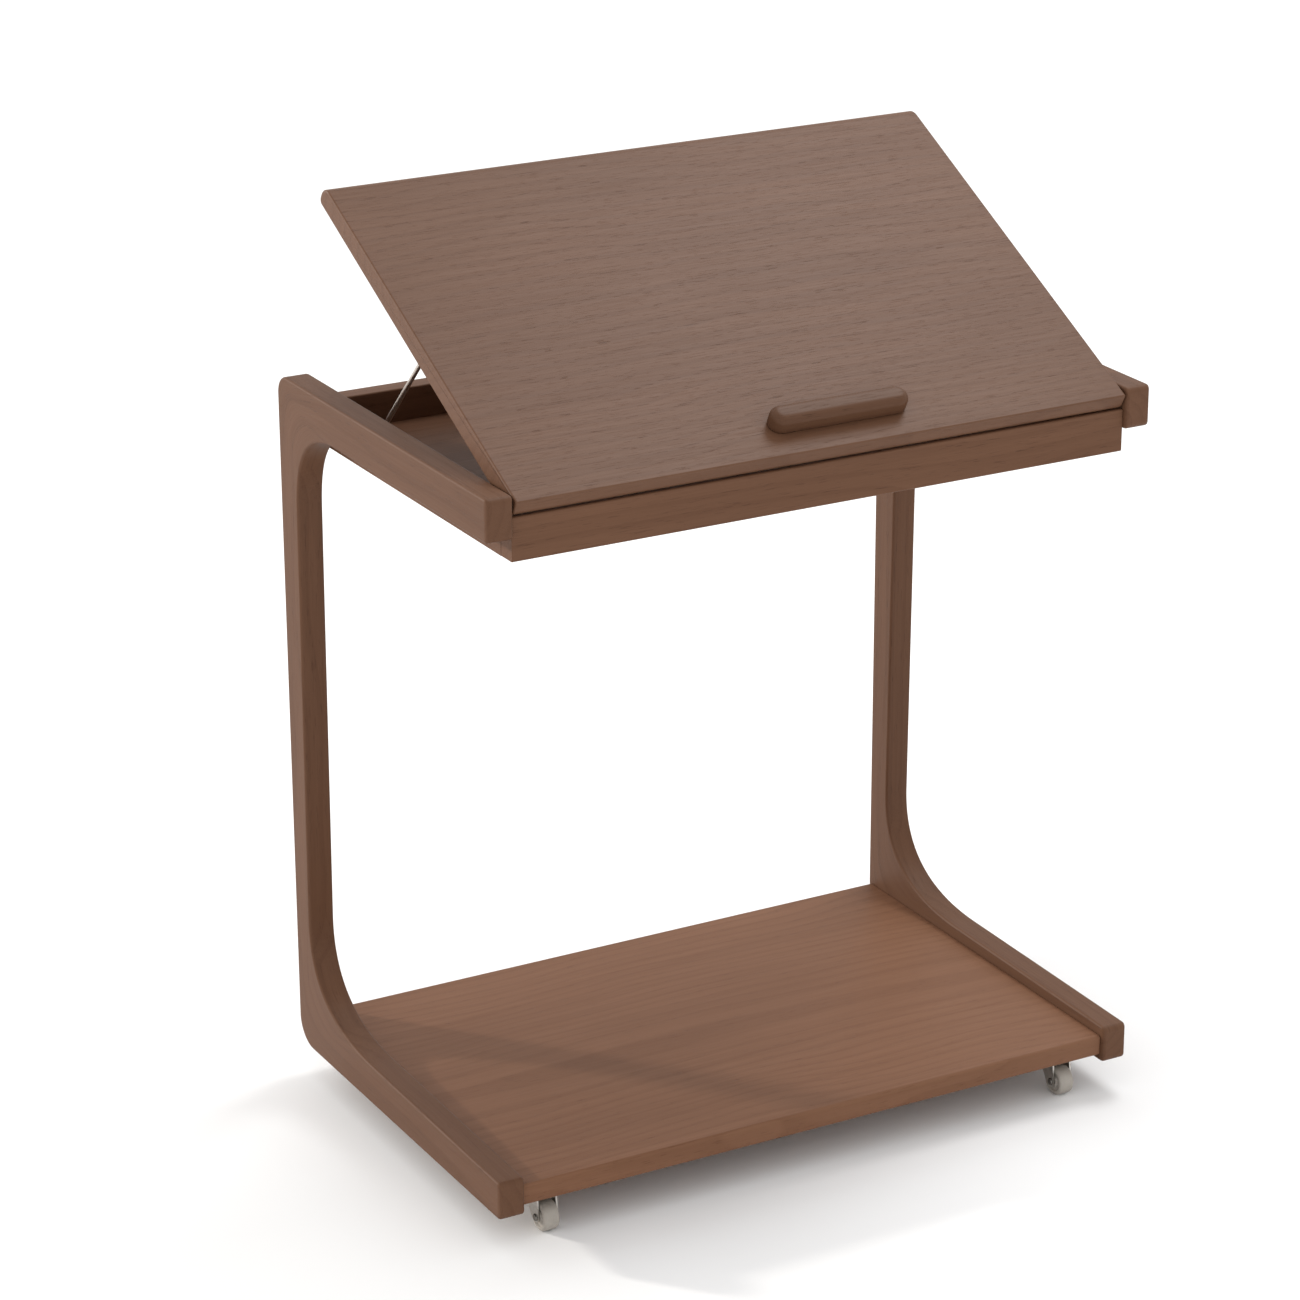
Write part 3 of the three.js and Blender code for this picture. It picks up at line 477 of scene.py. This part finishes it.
def frame_mesh(side, steps=5):
    """One C in a single piece: rounded all round, its grain following its bends."""
    inner, outer = inner_line(), outer_line()
    inner_in, outer_in = line_normals(inner, 1), line_normals(outer, -1)
    xs = [corner.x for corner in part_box(f"{side}_leg")]
    half, middle_x = (xs[1] - xs[0]) / 2, (xs[1] + xs[0]) / 2
    rings, grain, edge = [], [], []
    turns = [math.pi / 2 * k / steps for k in range(steps + 1)]

    def add(i, run, draw=0.0, back=0.0):
        """A ring across the C at point i, drawn in all round and slid back from its end."""
        wide = half - draw * 0.6
        span = (outer[i] - inner[i]).length
        ring = []
        for base, inward, sign in ((outer[i], outer_in[i], 1), (inner[i], inner_in[i], -1)):
            for rising in (True, False):
                for t in turns:
                    near, far = 1 - math.sin(t), 1 - math.cos(t)
                    x = -wide + FRAME_ROUND * far if rising else wide - FRAME_ROUND * near
                    depth = FRAME_ROUND * (near if rising else far)
                    point = base + inward * (depth + draw) + Vector((back, 0))
                    ring.append(Vector((middle_x + sign * x, point.x, point.y)))
                    grain.append((run, sign * (span / 2 - depth), ring[-1].x))
                    # edge share: wear and painted highlight on the rounded edges and the softened
                    # ends
                    edge.append(max(math.sin(2 * t), min(1.0, draw / END_SOFTNESS)))
        rings.append(ring)

    def end(i, run, order, way):
        for t in order:
            back = END_SOFTNESS * (1 - math.cos(t))
            add(i, run + way * back, END_SOFTNESS * (1 - math.sin(t)), back)

    end(0, 0.0, turns, 1)
    run = 0.0
    for i in range(1, len(inner)):
        run += ((inner[i] + outer[i]) / 2 - (inner[i - 1] + outer[i - 1]) / 2).length
        if i < len(inner) - 1:
            add(i, run)
    end(len(inner) - 1, run, reversed(turns), -1)
    mesh = loft(rings)
    put_attributes(mesh, grain, edge)
    return mesh


def build_frames():
    hearts = {"left": (0.03, -0.36), "right": (-0.02, 0.24)}
    for seed, (side, _) in enumerate(SIDES):
        material = wood(f"walnut_frame_{side}", 1.0 + seed, 0.88, heart=hearts[side])
        nodes_here = [f"{side}_arm", f"{side}_leg", f"{side}_rail"]
        finished(f"{side}_frame", frame_mesh(side), material, "frame", nodes_here)


# ---------------------------------------------------------------- shelf and tray


def build_shelf():
    low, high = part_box("shelf")
    radii = (2 * MM, 2 * MM, 2.5 * MM, 2.5 * MM)
    material = wood("walnut_shelf", 3.0, 1.36, heart=(-0.02, 0.012))
    board("shelf_board", low, high, radii, material, "frame", ["shelf"], end_round=0.8 * MM)


def build_tray():
    edge = (1.5 * MM,) * 4
    for name, node, seed, heart in (
        ("apron_board", "front_apron", 4.0, (-0.20, 0.57)),
        ("back_board", "tray_back_board", 5.0, (0.14, 0.62)),
    ):
        material = wood(f"walnut_{name}", seed, 0.98, heart=heart)
        low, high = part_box(node)
        board(name, low, high, edge, material, "frame", [node], end_round=0.5 * MM)
    material = wood("walnut_tray_floor", 6.0, 0.98, heart=(0.05, 0.52))
    low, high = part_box("tray_floor")
    board("tray_floor_board", low, high, (0.3 * MM,) * 4, material, "frame", ["tray_floor"],
          end_round=0.3 * MM)


# ---------------------------------------------------------------- lid

PIVOT = Vector(joints["lid_tilt"]["pos_m"])
LID_ANGLE = -joints["lid_tilt"]["range_deg"][0]
NOSE = 9 * MM
LID = Matrix.Translation(PIVOT) @ Matrix.Rotation(math.radians(LID_ANGLE), 4, "X")


def in_lid(node):
    """The box of a node in the lid's own frame, where the lid lies flat."""
    back = LID.inverted()
    points = [back @ vertex.co for vertex in nodes[node].data.vertices]
    low = Vector(min(p[i] for p in points) for i in range(3))
    high = Vector(max(p[i] for p in points) for i in range(3))
    return low, high


def build_panel():
    low, high = in_lid("tilt_panel")
    radii = (NOSE - 0.1 * MM, 4.0 * MM, 12.6 * MM, 1.2 * MM)
    outline, rubs_and_highlights = rounded_rectangle(low.yz, high.yz, radii)
    mesh = bar(outline, rubs_and_highlights, low.x, high.x, 1.5 * MM, far_corner=2 * MM)
    mesh.transform(LID)
    material = wood("walnut_panel", 7.0, 0.94, heart=(0.19, 0.03), gloss=0.45, lustre=0.19)
    finished("panel", mesh, material, "lid", ["tilt_panel"])


def stadium(x0, x1, y0, y1, inset, steps=14):
    """An oblong outline with round ends, drawn in by inset."""
    radius = (y1 - y0) / 2
    points = []
    for centre, start in ((x1 - radius, -90), (x0 + radius, 90)):
        for i in range(steps + 1):
            a = math.radians(start + 180 * i / steps)
            reach = radius - inset
            points.append((centre + reach * math.cos(a), (y0 + y1) / 2 + reach * math.sin(a)))
    return points


def build_book_stop():
    low, high = in_lid("book_stop")
    seat, height = low.z, high.z - low.z
    crown = 6.5 * MM
    levels = [(0.0, 1.0 * MM), (0.5 * MM, 0.35 * MM), (1.4 * MM, 0.0), (height - crown, 0.0)]
    for k in range(1, 9):
        t = math.pi / 2 * k / 8
        levels.append((height - crown + crown * math.sin(t), crown * (1 - math.cos(t))))
    levels.append((height, 8.6 * MM))
    rings, grain, edge = [], [], []
    for z, inset in levels:
        outline = stadium(low.x, high.x, low.y, high.y, inset)
        rings.append([Vector((x, y, seat + z)) for x, y in outline])
        grain += [(x, y, z) for x, y in outline]
        # edge share: wear and painted highlight on the book stop's rounded foot and crown
        edge += [0.3 if 0 < inset < 6 * MM else 0.0] * len(outline)
    mesh = loft(rings)
    put_attributes(mesh, grain, edge)
    mesh.transform(LID)
    material = wood("dark_walnut_stop", 8.0, 0.80, heart=(0.02, -0.05), gloss=0.42)
    finished("book_stop_bar", mesh, material, "lid", ["book_stop"])


# ---------------------------------------------------------------- stays


def rod_mesh(pivot, foot):
    """A wire between two flattened eyes, along a line in the YZ plane."""
    length = (foot - pivot).length
    wire, eye, flat = 2.0 * MM, 5.0 * MM, 1.2 * MM
    neck = 10 * MM
    places = [-eye * math.cos(math.pi / 2 * k / 8) for k in range(9)]
    places += [neck * k / 8 for k in range(1, 9)]
    places = sorted(places + [length - p for p in places])
    rings = []
    for place in places:
        near = min(place, length - place)
        blend = min(1.0, max(0.0, (near - 3 * MM) / (neck - 3 * MM)))
        blend = blend * blend * (3 - 2 * blend)
        disc = math.sqrt(max(0.0, eye**2 - near**2)) if near < eye else 0.0
        wide = max(disc, wire * blend + (2.6 * MM) * (1 - blend) if near > 0 else 0.0, 0.05 * MM)
        thick = flat + (wire - flat) * blend
        if near < 0:
            thick = flat * math.sqrt(max(0.03, 1 - (near / eye) ** 8))
        ring = []
        for i in range(24):
            a = 2 * math.pi * i / 24
            power = 1.0 - 0.5 * (1 - blend)
            c, s = math.cos(a), math.sin(a)
            u = math.copysign(abs(c) ** power, c) * thick
            v = math.copysign(abs(s) ** power, s) * wide
            ring.append(Vector((u, place, v)))
        rings.append(ring)
    mesh = loft(rings)
    way = (foot - pivot).normalized()
    turn = Matrix((Vector((1, 0, 0)), way, Vector((1, 0, 0)).cross(way))).transposed().to_4x4()
    mesh.transform(Matrix.Translation(pivot) @ turn)
    return outward(mesh)


def build_stays():
    bright = steel("stay_steel", (214, 205, 196), 0.3)
    for side, _ in SIDES:
        pivot = Vector(joints[f"{side}_stay_swing"]["pos_m"])
        low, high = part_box(f"{side}_stay_slider")
        foot = Vector((pivot.x, (low.y + high.y) / 2, (low.z + high.z) / 2))
        mesh = rod_mesh(pivot, foot)
        finished(f"{side}_stay_wire", mesh, bright, f"{side}_stay", [f"{side}_stay_rod"])


# ---------------------------------------------------------------- casters


def wheel_mesh(low, high):
    """A wheel with a grooved hub, a round-shouldered tread and a fine parting line."""
    half = (high.x - low.x) / 2
    radius = (high.z - low.z) / 2
    middle = (low + high) / 2
    bore, shoulder = 2.15 * MM, 2.6 * MM
    side_profile = [
        (bore, half - 0.1 * MM),
        (bore + 0.3 * MM, half),
        (4.4 * MM, half),
        (4.8 * MM, half - 0.3 * MM),
        (5.3 * MM, half - 1.5 * MM),
        (5.8 * MM, half - 1.7 * MM),
        (8.0 * MM, half - 1.7 * MM),
        (8.5 * MM, half - 1.5 * MM),
        (9.0 * MM, half - 0.2 * MM),
        (9.5 * MM, half),
    ]
    for k in range(9):
        t = math.pi / 2 * k / 8
        r = radius - shoulder + shoulder * math.sin(t)
        side_profile.append((r, half - shoulder * (1 - math.cos(t))))
    line_half = 0.25 * MM
    side_profile += [(radius, line_half), (radius - 0.15 * MM, 0.08 * MM)]
    profile = [(r, x) for r, x in side_profile] + [(r, -x) for r, x in reversed(side_profile)]
    mesh = turned_ring(profile)
    mesh.transform(Matrix.Translation(middle))
    return mesh


def turned_ring(profile, steps=56):
    """A ring turned about X from a closed profile of (radius, place along X)."""
    count = len(profile)
    points, faces = [], []
    for i in range(steps):
        a = 2 * math.pi * i / steps
        points += [Vector((x, r * math.cos(a), r * math.sin(a))) for r, x in profile]
        for j in range(count):
            k, n = (j + 1) % count, (i + 1) % steps
            faces.append((i * count + j, i * count + k, n * count + k, n * count + j))
    mesh = bpy.data.meshes.new("ring")
    mesh.from_pydata(points, [], faces)
    return outward(mesh)


def screw_head_mesh(radius, height):
    """A pan head with a cross recess, its seat at z = 0 and its top towards -Z."""
    rings = []
    steps = 32
    for r, z in ((1.0, 0.0), (1.0, 0.35), (0.9, 0.68), (0.66, 0.92), (0.42, 1.0)):
        turns = [2 * math.pi * i / steps for i in range(steps)]
        rings.append([
            Vector((radius * r * math.cos(a), radius * r * math.sin(a), -height * z)) for a in turns
        ])
    for r, z in ((0.40, 0.97), (0.30, 0.45), (0.12, 0.4)):
        ring = []
        for i in range(steps):
            a = 2 * math.pi * i / steps
            lobe = 0.35 + 0.65 * abs(math.cos(2 * a)) ** 3
            ring.append(Vector((
                radius * r * lobe * math.cos(a), radius * r * lobe * math.sin(a), -height * z
            )))
        rings.append(ring)
    return loft(rings)


def build_casters():
    tread = plastic("grey_tread", (168, 161, 152), 0.55)
    bright = steel("caster_steel", (188, 184, 178), 0.34)
    for name in CASTERS:
        node = f"caster_{name}_wheel"
        mesh = wheel_mesh(*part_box(node))
        finished(f"{name}_wheel", mesh, tread, f"wheel_{name}", [node])
        low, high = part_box(f"caster_{name}_plate")
        middle = (low + high) / 2
        underside = high.z - 1.5 * MM
        for i, (sx, sy) in enumerate(((-1, -1), (1, -1), (1, 1), (-1, 1))):
            head = screw_head_mesh(2.6 * MM, 1.4 * MM)
            place = (middle.x + sx * 15 * MM, middle.y + sy * 12 * MM, underside)
            head.transform(Matrix.Translation(place) @ Matrix.Rotation(0.5 * i, 4, "Z"))
            finished(f"{name}_plate_screw_{i + 1}", head, bright, "frame", ())


# ---------------------------------------------------------------- finishes of the CAD pieces


def dress(node, material, bevel=0.3 * MM):
    """A CAD piece kept as it is, with its own finish and softened edges."""
    made = nodes[node]
    made.data.materials.clear()
    made.data.materials.append(material)
    softened = made.modifiers.new("softened", "BEVEL")
    softened.width = bevel
    softened.segments = 2
    softened.limit_method = "ANGLE"
    softened.angle_limit = math.radians(40)
    made.modifiers.new("flats", "WEIGHTED_NORMAL").weight = 80


def dress_the_rest():
    bright = steel("zinc_bright", (200, 195, 188), 0.3)
    dull = steel("zinc_dull", (128, 124, 118), 0.4, (300, 300, 300))
    nylon = plastic("black_nylon", (34, 27, 23), 0.6)
    beech = wood("bare_beech", 11.0, 1.0, grain=(0, 0, 0), base=srgb(205, 172, 130))
    beech_up = wood("bare_beech_diagonal", 12.0, 1.0, grain=(45, 0, 90), base=srgb(205, 172, 130))
    sides = wood("walnut_tray_side", 9.0, 0.98, heart=(0.1, 0.5), grain=(0, 0, 90))
    for node, made in nodes.items():
        if made.hide_render:
            continue
        if "dowel" in node:
            dress(node, beech)
        elif "tenon" in node:
            dress(node, beech_up)
        elif node.startswith("tray_") and node.endswith("_side"):
            dress(node, sides, 0.2 * MM)
        elif "washer" in node:
            dress(node, nylon)
        elif node.endswith(("_rivet", "_slider", "_axle")) or "track_screw" in node:
            dress(node, dull, 0.2 * MM)
        else:
            dress(node, bright)


# ---------------------------------------------------------------- floor, light and camera


def build_floor():
    size = 40.0
    mesh = bpy.data.meshes.new("floor")
    corners = [(-size, -size, 0), (size, -size, 0), (size, size, 0), (-size, size, 0)]
    mesh.from_pydata(corners, [], [(0, 1, 2, 3)])
    floor = bpy.data.objects.new("floor", mesh)
    scene.collection.objects.link(floor)
    g = Graph("pale_floor")
    g.set(Base_Color=(0.93, 0.93, 0.93, 1.0), Roughness=0.85, Specular_IOR_Level=0.1)
    mesh.materials.append(g.material)
    return floor


def aim(made, direction):
    made.rotation_mode = "QUATERNION"
    made.rotation_quaternion = Vector(direction).to_track_quat("-Z", "Y")


def sun(name, direction, strength, angle, colour=(1, 1, 1)):
    light = bpy.data.lights.new(name, "SUN")
    light.energy = strength
    light.angle = math.radians(angle)
    light.color = colour
    made = bpy.data.objects.new(name, light)
    scene.collection.objects.link(made)
    aim(made, direction)
    return made


def panel_light(name, place, towards, size, power):
    light = bpy.data.lights.new(name, "AREA")
    light.shape = "DISK"
    light.size = size
    light.energy = power
    made = bpy.data.objects.new(name, light)
    scene.collection.objects.link(made)
    made.location = place
    aim(made, Vector(towards) - Vector(place))
    return made


def build_light():
    world = bpy.data.worlds.new("studio")
    scene.world = world
    world.use_nodes = True
    background = world.node_tree.nodes["Background"]
    background.inputs[0].default_value = (1.0, 1.0, 1.0, 1.0)
    background.inputs[1].default_value = 1.0
    sun("key", (0.615, -0.733, -0.292), 2.0, 4.0, (1.0, 0.96, 0.9))
    panel_light("overhead", (1.35, 0.55, 3.0), (0, 0, 0.6), 1.2, 30)


def build_camera():
    azimuth, elevation, roll = (math.radians(a) for a in (-28.88, 20.56, -0.20))
    back = Vector((
        math.sin(azimuth) * math.cos(elevation),
        -math.cos(azimuth) * math.cos(elevation),
        math.sin(elevation),
    ))
    right = (-back).cross(Vector((0, 0, 1))).normalized()
    up = right.cross(-back)
    turned_right = math.cos(roll) * right + math.sin(roll) * up
    turned_up = -math.sin(roll) * right + math.cos(roll) * up
    data = bpy.data.cameras.new("camera")
    data.sensor_width = 36.0
    data.lens = 115.55
    data.clip_start, data.clip_end = 0.1, 200.0
    camera = bpy.data.objects.new("camera", data)
    scene.collection.objects.link(camera)
    axes = Matrix((turned_right, turned_up, back)).transposed().to_4x4()
    camera.matrix_world = Matrix.Translation((-1.6101, -2.8136, 1.6116)) @ axes
    scene.camera = camera


build_frames()
build_shelf()
build_tray()
build_panel()
build_book_stop()
build_stays()
build_casters()
dress_the_rest()
build_floor()
build_light()
build_camera()
scene.view_settings.view_transform = "Standard"
scene.cycles.use_denoising = True
